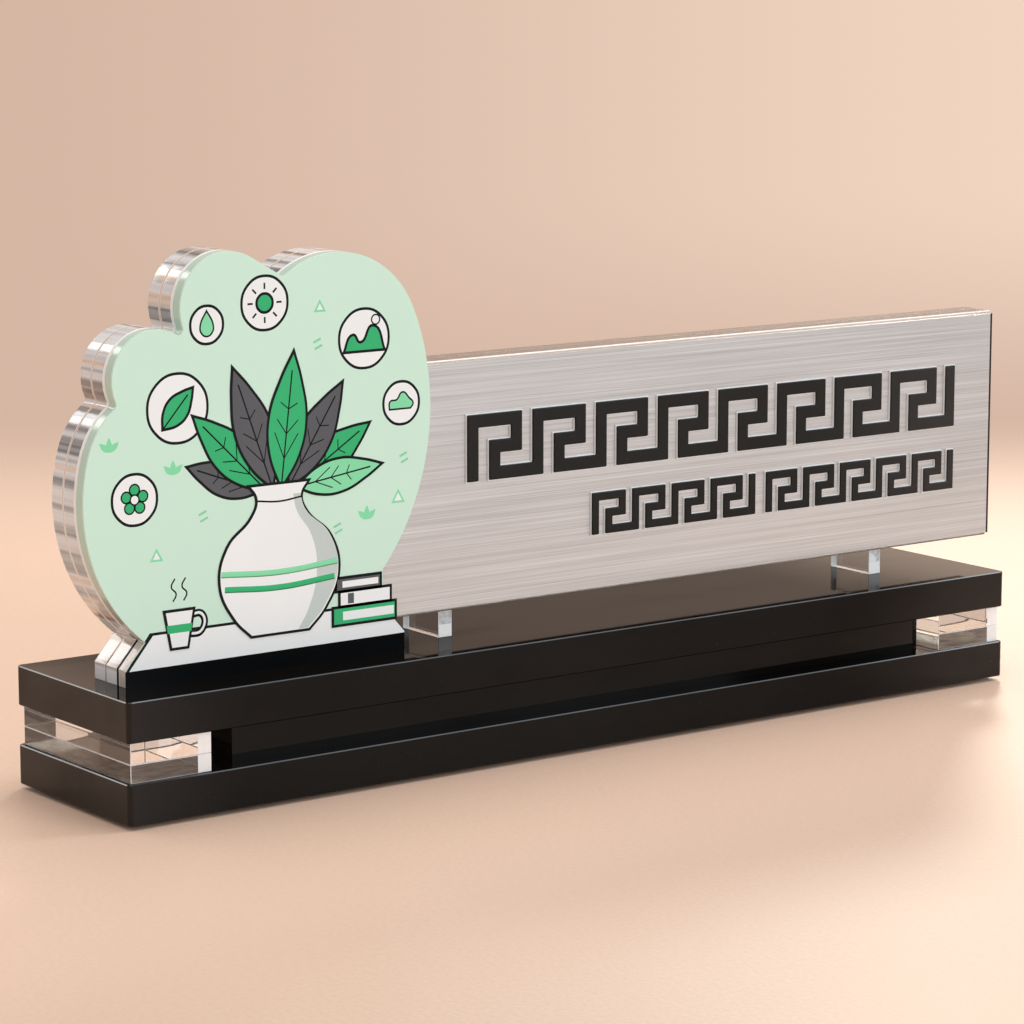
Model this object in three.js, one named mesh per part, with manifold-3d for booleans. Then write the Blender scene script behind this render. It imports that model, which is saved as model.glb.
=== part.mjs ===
// Desk nameplate in bonded acrylic.
// The base is a sandwich: two gloss black slabs held apart by a black core and two clear end blocks.
// A lobed clear plate stands on the base. It is laminated from three clear sheets, with a printed front.
// A long clear bar with a brushed steel face runs to the right on two clear posts.
// The left end of the bar is housed in a notch in the rear layers of the lobed plate.
import * as THREE from 'three';
import { mergeVertices } from 'three/addons/utils/BufferGeometryUtils.js';
import Module from 'manifold-3d';

const wasm = await Module();
wasm.setup();

// Driving dimensions, in millimetres and degrees.
// Layout axes: X runs right from the left end of the base, Y back from its front, Z up from the desk.

// Base slabs
const baseLength = 285;
const baseDepth = 54;
const bottomSlabThickness = 10;
const topSlabThickness = 10;
const slabCornerRadius = 1.2;
const slabEdgeBreak = 0.5;

// Black core and clear end blocks, all cut from one sheet
const spacerSheetThickness = 10;
const coreLeftInset = 32.8;
const coreRightInset = 27;
const coreFrontInset = 6.6;
const coreRearInset = 6.6;
const endBlockLength = 22.4;
const endBlockInset = 1.2;

// Bumper feet, set into round recesses under the bottom slab
const footRadius = 4;
const footEdge = 0.6;
const footStandProud = 1.2;
const footRecessDepth = 0.8;
const footRecessClearance = 0.3;
const footEndInset = 14;
const footSideInset = 9;

// Layers of the lobed plate, from the front to the back
const plateFrontInset = 14.4;
const printThickness = 0.4;
const plateFrontSheet = 3;
const backingThickness = 1;
const middleSheet = 5;
const bondThickness = 0.6;
const rearSheet = 5;

// Outline of the lobed plate: u runs right from the left end of its foot, v up from the top slab
const plateLeftInset = 8.1;
const plateFootLength = 81.2;
const plateFootUpright = 4.2;
const plateFootSlant = 48.5;
const plateNeckRight = 74.7;
const notchRadius = 1.2;
const leftLobe = { u: 33, v: 44.65, r: 43.8 };
const shoulderRadius = 21.4;
const shoulderStart = 164;
const sideLobe = { u: 9.55, v: 73.97, r: 11.93 };
const topLeftLobe = { u: 30, v: 90.06, r: 13.34 };
const topLeftFlank = 60;
const rightLobe = { u: 26.1, v: 61.5, r: 63.4 };
const topRightRadius = 25.1;
const topRightEnd = 22.7;

// Printed ledge at the foot of the plate
const ledgeHeight = 12.3;
const footStripHeight = 3.9;

// Bar
const barHousingLeft = 63;
const barRightOverhang = 10.5;
const barHeight = 64.7;
const barHousingClearance = 0.2;
const steelMargin = 0.8;

// Posts under the bar
const postWidth = 4.2;
const postDepth = 16;
const postHeight = 6.8;
const leftPostLeft = 103;
const rightPostLeft = 250.8;

// Length of one facet on a curved edge, and the fewest facets on an arc
const facetLength = 1.5;
const fewestFacets = 4;

// Places that follow from the driving dimensions
const bottomSlabBase = footStandProud;
const spacerBase = bottomSlabBase + bottomSlabThickness;
const topSlabBase = spacerBase + spacerSheetThickness;
const deck = topSlabBase + topSlabThickness;
const barBottom = postHeight;
const barTop = barBottom + barHeight;
const barRight = baseLength + barRightOverhang;
const frontSheetFace = printThickness;
const steelFace = frontSheetFace + plateFrontSheet;
const middleFace = steelFace + backingThickness;
const bondFace = middleFace + middleSheet;
const rearFace = bondFace + bondThickness;
const stackDepth = rearFace + rearSheet;

// Finishes
const gloss = { roughness: 0.08, metalness: 0 };
const clear = { color: 0xdde3e1, roughness: 0.04, metalness: 0, transparent: true, opacity: 0.35 };
const finishes = {
  black: { color: 0x14100e, ...gloss },
  clear,
  bond: { ...clear, color: 0xf3ede4, opacity: 0.5 },
  white: { color: 0xf1efea, roughness: 0.4, metalness: 0 },
  print: { color: 0xcbe4cc, roughness: 0.35, metalness: 0 },
  steel: { color: 0xc3bcb7, roughness: 0.34, metalness: 1 },
  rubber: { color: 0x1c1c1c, roughness: 0.85, metalness: 0 },
};

function addPiece(group, name, geometry, finish) {
  const piece = new THREE.Mesh(geometry, new THREE.MeshStandardMaterial(finishes[finish]));
  piece.name = name;
  group.add(piece);
  return piece;
}

// Booleans
function toSolid(geometry) {
  const bare = geometry.clone();
  bare.deleteAttribute('normal');
  bare.deleteAttribute('uv');
  const merged = mergeVertices(bare, 1e-5);
  return new wasm.Manifold(new wasm.Mesh({
    numProp: 3,
    vertProperties: new Float32Array(merged.attributes.position.array),
    triVerts: new Uint32Array(merged.index.array),
  }));
}

function toGeometry(solid) {
  const cut = solid.getMesh();
  const geometry = new THREE.BufferGeometry();
  geometry.setAttribute('position', new THREE.BufferAttribute(cut.vertProperties, 3));
  geometry.setIndex(new THREE.BufferAttribute(cut.triVerts, 1));
  geometry.computeVertexNormals();
  return geometry;
}

function subtract(geometry, cutters) {
  let solid = toSolid(geometry);
  for (const cutter of cutters) {
    solid = solid.subtract(toSolid(cutter));
  }
  return toGeometry(solid);
}

function intersect(geometry, keeper) {
  return toGeometry(toSolid(geometry).intersect(toSolid(keeper)));
}

// A box from its low corner and its sizes
function block(x, y, z, sizeX, sizeY, sizeZ) {
  const geometry = new THREE.BoxGeometry(sizeX, sizeY, sizeZ);
  return geometry.translate(x + sizeX / 2, y + sizeY / 2, z + sizeZ / 2);
}

// Outline geometry in the plane of a sheet. A circle is { u, v, r } and angles are in radians.
const radians = THREE.MathUtils.degToRad;

function pointOn(circle, angle) {
  return new THREE.Vector2(circle.u + circle.r * Math.cos(angle), circle.v + circle.r * Math.sin(angle));
}

function angleTo(circle, point) {
  return Math.atan2(point.y - circle.v, point.x - circle.u);
}

// Facets of an arc. It runs clockwise where direction is -1 and the other way where it is 1.
function arc(circle, from, to, direction) {
  const fullTurn = 2 * Math.PI;
  const sweep = ((direction * (to - from)) % fullTurn + fullTurn) % fullTurn;
  const facets = Math.max(fewestFacets, Math.ceil((sweep * circle.r) / facetLength));
  const points = [];
  for (let i = 0; i <= facets; i += 1) {
    points.push(pointOn(circle, from + (direction * sweep * i) / facets));
  }
  return points;
}

// Where two circles meet, on the left of the way from the first centre to the second
function circlesMeet(first, second) {
  const way = new THREE.Vector2(second.u - first.u, second.v - first.v);
  const apart = way.length();
  const along = (apart ** 2 + first.r ** 2 - second.r ** 2) / (2 * apart);
  const aside = Math.sqrt(first.r ** 2 - along ** 2);
  way.normalize();
  return new THREE.Vector2(
    first.u + way.x * along - way.y * aside,
    first.v + way.y * along + way.x * aside,
  );
}

// How far along a line from a start a circle is first met
function lineMeets(start, direction, circle) {
  const toStart = new THREE.Vector2(start.x - circle.u, start.y - circle.v);
  const half = toStart.dot(direction);
  return -half - Math.sqrt(half ** 2 - toStart.lengthSq() + circle.r ** 2);
}

function grown(circle) {
  return { ...circle, r: circle.r + notchRadius };
}

// A lobe that touches a larger circle from inside, at an angle on the larger one
function lobeInside(outer, radius, angle) {
  const centre = pointOn({ ...outer, r: outer.r - radius }, angle);
  return { u: centre.x, v: centre.y, r: radius };
}

// The small round circle that fills the notch between two lobes
function notchBetween(first, second) {
  const centre = circlesMeet(grown(first), grown(second));
  return { u: centre.x, v: centre.y, r: notchRadius };
}

// Outline of the lobed plate, clockwise from the left end of its foot.
// Lobes join by shared tangents, and each notch between them is rounded.
function plateOutline() {
  const slant = radians(plateFootSlant);
  const shoulder = lobeInside(leftLobe, shoulderRadius, radians(shoulderStart));
  const topRightLobe = lobeInside(rightLobe, topRightRadius, radians(topRightEnd));

  const footCorner = new THREE.Vector2(0, plateFootUpright);
  const footRise = new THREE.Vector2(Math.cos(slant), Math.sin(slant));
  const ankle = footCorner.clone().addScaledVector(footRise, lineMeets(footCorner, footRise, leftLobe));

  const lowNotch = notchBetween(shoulder, sideLobe);
  const highNotch = notchBetween(sideLobe, topLeftLobe);

  const flankAngle = radians(topLeftFlank);
  const flankTop = pointOn(topLeftLobe, flankAngle);
  const flankWay = new THREE.Vector2(Math.sin(flankAngle), -Math.cos(flankAngle));
  const flankOut = new THREE.Vector2(Math.cos(flankAngle), Math.sin(flankAngle));
  const besideFlank = flankTop.clone().addScaledVector(flankOut, notchRadius);
  const flankLength = lineMeets(besideFlank, flankWay, grown(topRightLobe));
  const crownCentre = besideFlank.addScaledVector(flankWay, flankLength);
  const crownNotch = { u: crownCentre.x, v: crownCentre.y, r: notchRadius };

  const neckAngle = -Math.acos((plateNeckRight - rightLobe.u) / rightLobe.r);
  const neckFoot = plateFootUpright + (plateFootLength - plateNeckRight) * Math.tan(slant);

  const towards = (from, to) => angleTo(from, new THREE.Vector2(to.u, to.v));
  return [
    new THREE.Vector2(0, 0),
    footCorner,
    ...arc(leftLobe, angleTo(leftLobe, ankle), radians(shoulderStart), -1),
    ...arc(shoulder, radians(shoulderStart), towards(shoulder, lowNotch), -1).slice(1),
    ...arc(lowNotch, towards(lowNotch, shoulder), towards(lowNotch, sideLobe), 1).slice(1),
    ...arc(sideLobe, towards(sideLobe, lowNotch), towards(sideLobe, highNotch), -1).slice(1),
    ...arc(highNotch, towards(highNotch, sideLobe), towards(highNotch, topLeftLobe), 1).slice(1),
    ...arc(topLeftLobe, towards(topLeftLobe, highNotch), flankAngle, -1).slice(1),
    ...arc(crownNotch, flankAngle + Math.PI, towards(crownNotch, topRightLobe), 1),
    ...arc(topRightLobe, towards(topRightLobe, crownNotch), radians(topRightEnd), -1).slice(1),
    ...arc(rightLobe, radians(topRightEnd), neckAngle, -1).slice(1),
    new THREE.Vector2(plateNeckRight, neckFoot),
    new THREE.Vector2(plateFootLength, plateFootUpright),
    new THREE.Vector2(plateFootLength, 0),
  ];
}

// A sheet standing upright, with its outline in the X Z plane and its front at a depth
function uprightSheet(outline, front, thickness) {
  const geometry = new THREE.ExtrudeGeometry(new THREE.Shape(outline), {
    depth: thickness,
    bevelEnabled: false,
  });
  return geometry.rotateX(Math.PI / 2).translate(0, front + thickness, 0);
}

// A lying slab with rounded upright corners and broken edges
function slab(thickness) {
  const r = slabCornerRadius;
  const corners = [
    { u: baseLength - r, v: r, r },
    { u: baseLength - r, v: baseDepth - r, r },
    { u: r, v: baseDepth - r, r },
    { u: r, v: r, r },
  ];
  const quarter = Math.PI / 2;
  const outline = corners.flatMap((corner, i) => arc(corner, (i - 1) * quarter, i * quarter, 1));
  const geometry = new THREE.ExtrudeGeometry(new THREE.Shape(outline), {
    depth: thickness - 2 * slabEdgeBreak,
    bevelSize: slabEdgeBreak,
    bevelThickness: slabEdgeBreak,
    bevelOffset: -slabEdgeBreak,
    bevelSegments: 1,
  });
  return geometry.translate(0, 0, slabEdgeBreak);
}

function buildBase() {
  const base = new THREE.Group();
  const footPlaces = [
    ['bumper_foot_front_left', footEndInset, footSideInset],
    ['bumper_foot_front_right', baseLength - footEndInset, footSideInset],
    ['bumper_foot_rear_left', footEndInset, baseDepth - footSideInset],
    ['bumper_foot_rear_right', baseLength - footEndInset, baseDepth - footSideInset],
  ];

  // Each foot fills its recess in height, and has clearance round it
  const footSides = 32;
  const footHeight = footRecessDepth + footStandProud;
  const recessRadius = footRadius + footRecessClearance;
  const recesses = footPlaces.map(([, x, y]) => {
    const recess = new THREE.CylinderGeometry(recessRadius, recessRadius, 2 * footRecessDepth, footSides);
    return recess.rotateX(Math.PI / 2).translate(x, y, 0);
  });
  const bottomSlab = addPiece(
    base, 'base_bottom_slab', subtract(slab(bottomSlabThickness), recesses), 'black');
  bottomSlab.position.z = bottomSlabBase;

  const footProfile = [
    new THREE.Vector2(0, 0),
    new THREE.Vector2(footRadius - footEdge, 0),
    new THREE.Vector2(footRadius, footEdge),
    new THREE.Vector2(footRadius, footHeight),
    new THREE.Vector2(0, footHeight),
  ];
  for (const [name, x, y] of footPlaces) {
    const foot = addPiece(base, name, new THREE.LatheGeometry(footProfile, footSides), 'rubber');
    foot.rotation.x = Math.PI / 2;
    foot.position.set(x, y, 0);
  }

  const coreLength = baseLength - coreLeftInset - coreRightInset;
  const coreDepth = baseDepth - coreFrontInset - coreRearInset;
  addPiece(base, 'base_core',
    block(coreLeftInset, coreFrontInset, spacerBase, coreLength, coreDepth, spacerSheetThickness),
    'black');

  const endBlockDepth = baseDepth - 2 * endBlockInset;
  const endBlockPlaces = [
    ['left_end_block', endBlockInset],
    ['right_end_block', baseLength - endBlockInset - endBlockLength],
  ];
  for (const [name, x] of endBlockPlaces) {
    addPiece(base, name,
      block(x, endBlockInset, spacerBase, endBlockLength, endBlockDepth, spacerSheetThickness),
      'clear');
  }

  const topSlab = addPiece(base, 'base_top_slab', slab(topSlabThickness), 'black');
  topSlab.position.z = topSlabBase;
  return base;
}

// The lobed plate stands in its own frame: X from the left end of its foot, Y from its printed face
function buildPlate() {
  const plate = new THREE.Group();
  plate.position.set(plateLeftInset, plateFrontInset, deck);
  const outline = plateOutline();

  // The rear layers are cut away for the end of the bar, with clearance on its three sides
  const farOut = baseLength;
  const housingLeft = barHousingLeft - plateLeftInset - barHousingClearance;
  const housing = block(
    housingLeft, 0, barBottom - barHousingClearance,
    farOut, stackDepth + 1, barHeight + 2 * barHousingClearance);
  const housedSheet = (front, thickness) => subtract(uprightSheet(outline, front, thickness), [housing]);

  addPiece(plate, 'plate_rear_sheet', housedSheet(rearFace, rearSheet), 'clear');
  addPiece(plate, 'plate_bond_film', housedSheet(bondFace, bondThickness), 'bond');
  addPiece(plate, 'plate_middle_sheet', housedSheet(middleFace, middleSheet), 'clear');

  // The opaque backing behind the front sheet changes from black to white at the ledge
  const backing = housedSheet(steelFace, backingThickness);
  const belowLedge = block(-farOut, 0, -ledgeHeight, 2 * farOut, stackDepth, 2 * ledgeHeight);
  addPiece(plate, 'plate_backing_sheet', subtract(backing, [belowLedge]), 'white');
  addPiece(plate, 'ledge_backing_sheet', intersect(backing, belowLedge), 'black');

  addPiece(plate, 'plate_front_sheet', uprightSheet(outline, frontSheetFace, plateFrontSheet), 'clear');

  // The print covers the front sheet down to a black strip along its foot
  const print = uprightSheet(outline, 0, printThickness);
  const belowPrint = block(-farOut, -1, -footStripHeight, 2 * farOut, 2, 2 * footStripHeight);
  addPiece(plate, 'plate_print_sheet', subtract(print, [belowPrint]), 'print');
  addPiece(plate, 'foot_strip',
    block(0, 0, 0, plateFootLength, printThickness, footStripHeight), 'black');
  return plate;
}

// The bar's layers lie in the same planes as the rear layers of the lobed plate
function buildBar() {
  const bar = new THREE.Group();
  bar.position.set(0, plateFrontInset, deck);
  const barLength = barRight - barHousingLeft;
  const layer = (front, thickness) => block(barHousingLeft, front, barBottom, barLength, thickness, barHeight);
  addPiece(bar, 'bar_rear_sheet', layer(rearFace, rearSheet), 'clear');
  addPiece(bar, 'bar_bond_film', layer(bondFace, bondThickness), 'bond');
  addPiece(bar, 'bar_front_sheet', layer(middleFace, middleSheet), 'clear');

  // The steel face stops short of the clear sheet all round, which leaves a bright rim
  addPiece(bar, 'bar_steel_face', block(
    barHousingLeft, steelFace, barBottom + steelMargin,
    barLength - steelMargin, backingThickness, barHeight - 2 * steelMargin), 'steel');

  // The posts are flush with the front of the clear layers, and reach out behind them as a foot
  const postPlaces = [
    ['left_post', leftPostLeft],
    ['right_post', rightPostLeft],
  ];
  for (const [name, x] of postPlaces) {
    addPiece(bar, name, block(x, middleFace, 0, postWidth, postDepth, postHeight), 'clear');
  }
  return bar;
}

// The whole object, moved so that its origin lies on the desk under its middle
const nameplate = new THREE.Group();
nameplate.name = 'nameplate';
nameplate.add(buildBase(), buildPlate(), buildBar());
const extent = new THREE.Box3().setFromObject(nameplate);
nameplate.position.set(-(extent.min.x + extent.max.x) / 2, -(extent.min.y + extent.max.y) / 2, 0);

export default nameplate;
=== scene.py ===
# %% [markdown]
# A desk nameplate in bonded acrylic
#
# The real object is a stack of laser cut sheets. Two gloss black slabs are held apart by a black
# core and two clear end blocks. A lobed clear plate with a printed face stands on them, and a long
# clear bar with a brushed steel face runs to the right on two clear posts.
#
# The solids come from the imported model, which is the fixed frame of this scene. Here they get their
# finishes, the clear sheets are remade with polished edges, and the print and the raised ornament
# are added.

# %% Load the frame
import math

import bpy
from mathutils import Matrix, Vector


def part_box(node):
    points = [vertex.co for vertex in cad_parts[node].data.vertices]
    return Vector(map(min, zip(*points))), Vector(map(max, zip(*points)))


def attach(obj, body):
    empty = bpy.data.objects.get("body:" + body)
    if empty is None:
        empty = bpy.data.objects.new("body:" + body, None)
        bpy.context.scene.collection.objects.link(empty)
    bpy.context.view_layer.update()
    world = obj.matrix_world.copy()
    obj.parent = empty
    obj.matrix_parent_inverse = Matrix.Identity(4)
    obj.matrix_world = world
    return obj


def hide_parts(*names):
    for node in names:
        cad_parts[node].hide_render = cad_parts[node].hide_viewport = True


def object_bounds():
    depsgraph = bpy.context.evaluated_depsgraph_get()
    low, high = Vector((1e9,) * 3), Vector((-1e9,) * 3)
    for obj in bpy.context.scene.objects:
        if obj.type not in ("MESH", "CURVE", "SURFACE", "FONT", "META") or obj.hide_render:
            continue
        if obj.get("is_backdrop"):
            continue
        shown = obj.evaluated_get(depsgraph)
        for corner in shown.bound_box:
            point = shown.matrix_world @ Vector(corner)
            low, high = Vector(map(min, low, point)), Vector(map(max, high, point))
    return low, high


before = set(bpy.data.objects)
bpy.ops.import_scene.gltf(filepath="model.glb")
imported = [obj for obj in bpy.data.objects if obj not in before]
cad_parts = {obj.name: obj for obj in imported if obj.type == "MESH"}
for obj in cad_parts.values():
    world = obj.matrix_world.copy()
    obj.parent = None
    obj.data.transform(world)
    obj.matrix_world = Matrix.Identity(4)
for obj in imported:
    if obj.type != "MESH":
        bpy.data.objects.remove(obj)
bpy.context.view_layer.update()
scene = bpy.context.scene

# %% [markdown]
# The camera
#
# Its place and its direction were found by matching the corners of the base and of the bar, so that
# they fall on the same points of the picture. The lens is long: a small object seen from nearly a
# metre away has little perspective.

# %% Set up the camera
FRAME_PIXELS = 1024
FOCAL_PIXELS = 3600
SENSOR_WIDTH = 36
CAMERA_PLACE = (-0.5660, -0.7461, 0.2175)
LOOK_RIGHT = 36.5
LOOK_DOWN = 9.64

camera_data = bpy.data.cameras.new("camera")
camera_data.sensor_width = SENSOR_WIDTH
camera_data.lens = SENSOR_WIDTH * FOCAL_PIXELS / FRAME_PIXELS
camera = bpy.data.objects.new("camera", camera_data)
camera.location = CAMERA_PLACE
camera.rotation_euler = (math.radians(90 - LOOK_DOWN), 0, math.radians(-LOOK_RIGHT))
scene.collection.objects.link(camera)
scene.camera = camera
scene.view_settings.view_transform = "Standard"
print("lens in millimetres:", round(camera_data.lens, 1))

# %% [markdown]
# Light enters and leaves many faces on its way through a stack of clear sheets, and each face
# counts as a bounce. With too few bounces the inside of the acrylic turns black.

# %% Let light travel far inside the clear sheets
CLEAR_BOUNCES = 28
scene.cycles.max_bounces = CLEAR_BOUNCES
scene.cycles.transmission_bounces = CLEAR_BOUNCES
scene.cycles.glossy_bounces = CLEAR_BOUNCES
print("bounces:", CLEAR_BOUNCES)

# %% [markdown]
# Small helpers
#
# Blender's operators act on what is selected, and the loaded solids are all selected. So each step
# begins by selecting just one object, and in edit mode just the parts of it that are meant. A
# finished piece has its place in its mesh, with its object at the origin, as the solids have.

# %% Select one object, edit it, finish it
def only(piece):
    bpy.ops.object.select_all(action="DESELECT")
    piece.select_set(True)
    bpy.context.view_layer.objects.active = piece


def apply_place(piece):
    only(piece)
    bpy.ops.object.transform_apply(location=True, rotation=True, scale=True)


def apply_modifiers(piece):
    only(piece)
    for modifier in list(piece.modifiers):
        bpy.ops.object.modifier_apply(modifier=modifier.name)


def edit_all(piece):
    """Enter edit mode with all of a piece selected."""
    only(piece)
    bpy.ops.object.mode_set(mode="EDIT")
    bpy.ops.mesh.select_all(action="SELECT")


def edit_chosen(piece, kind, wanted):
    """Enter edit mode with only the wanted corners, edges or faces of a piece selected."""
    only(piece)
    bpy.ops.object.mode_set(mode="EDIT")
    bpy.ops.mesh.select_mode(type=kind)
    bpy.ops.mesh.select_all(action="DESELECT")
    bpy.ops.object.mode_set(mode="OBJECT")
    mesh = piece.data
    parts = {"VERT": mesh.vertices, "EDGE": mesh.edges, "FACE": mesh.polygons}
    for part in parts[kind]:
        part.select = wanted(part)
    bpy.ops.object.mode_set(mode="EDIT")


def leave_edit():
    bpy.ops.object.mode_set(mode="OBJECT")


def finish_piece(piece, name, material=None, stands_for=()):
    """Name a piece and set it in its place. Without a material it keeps those it has."""
    apply_place(piece)
    piece.name = name
    piece.data.name = name
    if material:
        piece.data.materials.clear()
        piece.data.materials.append(material)
    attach(piece, "root")
    if stands_for:
        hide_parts(*stands_for)
    print(name, len(piece.data.polygons), "faces")


# %% [markdown]
# Shader node groups
#
# A node group is an effect that is made once, and that any material can use with values of its
# own. Here there are three: lines left by a brush, the slow waves of a flame polished edge, and the
# wipe marks and fine dust that a glossy surface gathers.

# %% Helpers for nodes
def add_node(tree, kind, inputs=None, **settings):
    """Add a node. Each input given is a plain value, or an output that is linked to it."""
    node = tree.nodes.new(kind)
    for key, value in settings.items():
        setattr(node, key, value)
    for label, value in (inputs or {}).items():
        if isinstance(value, bpy.types.NodeSocket):
            tree.links.new(value, node.inputs[label])
        else:
            node.inputs[label].default_value = value
    return node


def math_node(tree, operation, *values):
    return add_node(tree, "ShaderNodeMath", dict(enumerate(values)), operation=operation).outputs[0]


def noise_node(tree, vector, scale, detail=2.0, roughness=0.5):
    inputs = {"Vector": vector, "Scale": scale, "Detail": detail, "Roughness": roughness}
    return add_node(tree, "ShaderNodeTexNoise", inputs).outputs[0]


def stretched(tree, vector, scale):
    inputs = {"Vector": vector, "Scale": scale}
    return add_node(tree, "ShaderNodeMapping", inputs, vector_type="POINT").outputs[0]


def part_of(tree, vector, axis):
    return add_node(tree, "ShaderNodeSeparateXYZ", {"Vector": vector}).outputs[axis]


def along(tree, vector, direction):
    inputs = {0: vector, 1: direction}
    return add_node(tree, "ShaderNodeVectorMath", inputs, operation="DOT_PRODUCT").outputs["Value"]


def mapped(tree, value, low, high, at_low=0.0, at_high=1.0, way="SMOOTHSTEP"):
    """A number that goes from at_low to at_high while a value goes from low to high."""
    inputs = {
        "Value": value, "From Min": low, "From Max": high, "To Min": at_low, "To Max": at_high}
    return add_node(tree, "ShaderNodeMapRange", inputs, interpolation_type=way).outputs["Result"]


def new_group(name, numbers, results):
    """Start a node group. It takes a vector and some numbers, and puts out numbers."""
    group = bpy.data.node_groups.new(name, "ShaderNodeTree")
    sockets = group.interface
    sockets.new_socket("Vector", in_out="INPUT", socket_type="NodeSocketVector")
    for label, value in numbers.items():
        socket = sockets.new_socket(label, in_out="INPUT", socket_type="NodeSocketFloat")
        socket.default_value = value
    for label in results:
        sockets.new_socket(label, in_out="OUTPUT", socket_type="NodeSocketFloat")
    start = group.nodes.new("NodeGroupInput")
    end = group.nodes.new("NodeGroupOutput")
    return group, start.outputs, end.inputs


# %% [markdown]
# Brushing leaves fine scratches and, among them, a few coarse ones. Noise that is stretched along X
# and pressed together across it gives such streaks, and two sizes of it are added together.

# %% Brush lines
FINE_BRUSH = (14, 400, 5200)
COARSE_BRUSH = (9, 90, 1300)

brush, brush_in, brush_out = new_group("brush_lines", {"Coarse Share": 0.35}, ["Lines"])
fine_lines = noise_node(brush, stretched(brush, brush_in["Vector"], FINE_BRUSH), 1.0, 3.0, 0.65)
coarse_lines = noise_node(brush, stretched(brush, brush_in["Vector"], COARSE_BRUSH), 1.0, 2.0, 0.5)
coarse_part = math_node(brush, "MULTIPLY", coarse_lines, brush_in["Coarse Share"])
fine_share = math_node(brush, "SUBTRACT", 1.0, brush_in["Coarse Share"])
both_lines = math_node(brush, "MULTIPLY_ADD", fine_lines, fine_share, coarse_part)
brush.links.new(both_lines, brush_out["Lines"])
print("brush_lines has", len(brush.nodes), "nodes")

# %% [markdown]
# A flame melts the skin of a cut edge, and it sets in slow waves that run straight through the
# thickness of the sheet. The noise for them doesn't change along Y, which is that thickness.

# %% Edge polish
THROUGH = (1, 0, 1)

polish, polish_in, polish_out = new_group("edge_polish", {"Wave Scale": 90.0}, ["Waves"])
waves = noise_node(
    polish, stretched(polish, polish_in["Vector"], THROUGH), polish_in["Wave Scale"], 1.5, 0.4)
polish.links.new(waves, polish_out["Waves"])
print("edge_polish has", len(polish.nodes), "nodes")

# %% [markdown]
# Fingers and cloths leave faint smears, which are long in the direction of wiping, and dust leaves
# specks. On the real slabs the polish is also dimmer in the middle and brighter at both ends. Here
# and below, a name that ends in TURN holds the two values between which an effect sets in.

# %% Wipe marks
SMEAR = (18, 45, 45)
SMEAR_TURN = (0.42, 0.72)
SPECK_TURN = (0.74, 0.80)
WORN_MIDDLE = -0.015
END_TURN = (0.09, 0.16)
WORN_POLISH = 0.66
END_POLISH = 1.8

wipe, wipe_in, wipe_out = new_group(
    "wipe_marks", {"Clean": 0.05, "Smeared": 0.12}, ["Strength", "Specks"])
smears = noise_node(wipe, stretched(wipe, wipe_in["Vector"], SMEAR), 1.0, 4.0, 0.6)
smear_mask = mapped(wipe, smears, *SMEAR_TURN, wipe_in["Clean"], wipe_in["Smeared"])
from_middle = math_node(
    wipe, "ABSOLUTE",
    math_node(wipe, "SUBTRACT", part_of(wipe, wipe_in["Vector"], "X"), WORN_MIDDLE))
near_end = mapped(wipe, from_middle, *END_TURN)
polish_share = math_node(wipe, "MULTIPLY_ADD", near_end, END_POLISH - WORN_POLISH, WORN_POLISH)
wipe.links.new(math_node(wipe, "MULTIPLY", smear_mask, polish_share), wipe_out["Strength"])
grit = noise_node(wipe, wipe_in["Vector"], 2600.0, 1.0, 0.5)
wipe.links.new(mapped(wipe, grit, *SPECK_TURN, way="LINEAR"), wipe_out["Specks"])
print("wipe_marks has", len(wipe.nodes), "nodes")

# %% [markdown]
# Finishes
#
# Each finish is one Principled shader. What is the same all over the surface is set on its own
# socket, and only what changes over the surface comes from nodes, which read object coordinates.

# %% Helpers for a material
def new_material(name, **constants):
    material = bpy.data.materials.new(name)
    material.use_nodes = True
    sockets = material.node_tree.nodes["Principled BSDF"].inputs
    for label, value in constants.items():
        sockets[label.replace("_", " ")].default_value = value
    coordinates = add_node(material.node_tree, "ShaderNodeTexCoord").outputs["Object"]
    print("material:", name)
    return material, material.node_tree, sockets, coordinates


def use_group(tree, group, vector, **values):
    inputs = {label.replace("_", " "): value for label, value in values.items()}
    inputs["Vector"] = vector
    return add_node(tree, "ShaderNodeGroup", inputs, node_tree=group).outputs


def blend_colours(tree, factor, first, second, way="MIX"):
    """Blend two colours. The first may also come from a node."""
    if not isinstance(first, bpy.types.NodeSocket):
        first = (*first, 1)
    inputs = {"Factor": factor, "A": first, "B": (*second, 1)}
    node = add_node(tree, "ShaderNodeMix", inputs, data_type="RGBA", blend_type=way)
    return node.outputs["Result"]


def bump_normal(tree, height, strength, distance):
    inputs = {"Height": height, "Strength": strength, "Distance": distance}
    return add_node(tree, "ShaderNodeBump", inputs).outputs["Normal"]


def two_tone(name, dark, light, scale, detail=2.0, **constants):
    """A finish whose colour wanders softly between two near tones."""
    material, tree, sockets, coordinates = new_material(name, **constants)
    wandering = noise_node(tree, coordinates, scale, detail)
    tree.links.new(blend_colours(tree, wandering, dark, light), sockets["Base Color"])
    return material


# %% [markdown]
# Black acrylic is dark all the way through, and what is seen of it is mostly its polish. So the
# polish is a coat over a body that reflects nothing. Wipe marks make it a little weaker here and
# there. The same recipe with a duller coat serves for the black sheet and the raised ornament.

# %% Gloss black acrylic, with wipe marks and a little dust
def make_gloss(name, polished, wiped, coat_roughness, dark, dust):
    material, tree, sockets, coordinates = new_material(
        name, Specular_IOR_Level=0.0, Roughness=0.5, Coat_Roughness=coat_roughness, Coat_IOR=1.45)
    marks = use_group(tree, wipe, coordinates, Clean=polished, Smeared=wiped)
    tree.links.new(marks["Strength"], sockets["Coat Weight"])
    tree.links.new(blend_colours(tree, marks["Specks"], dark, dust), sockets["Base Color"])
    return material


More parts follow.
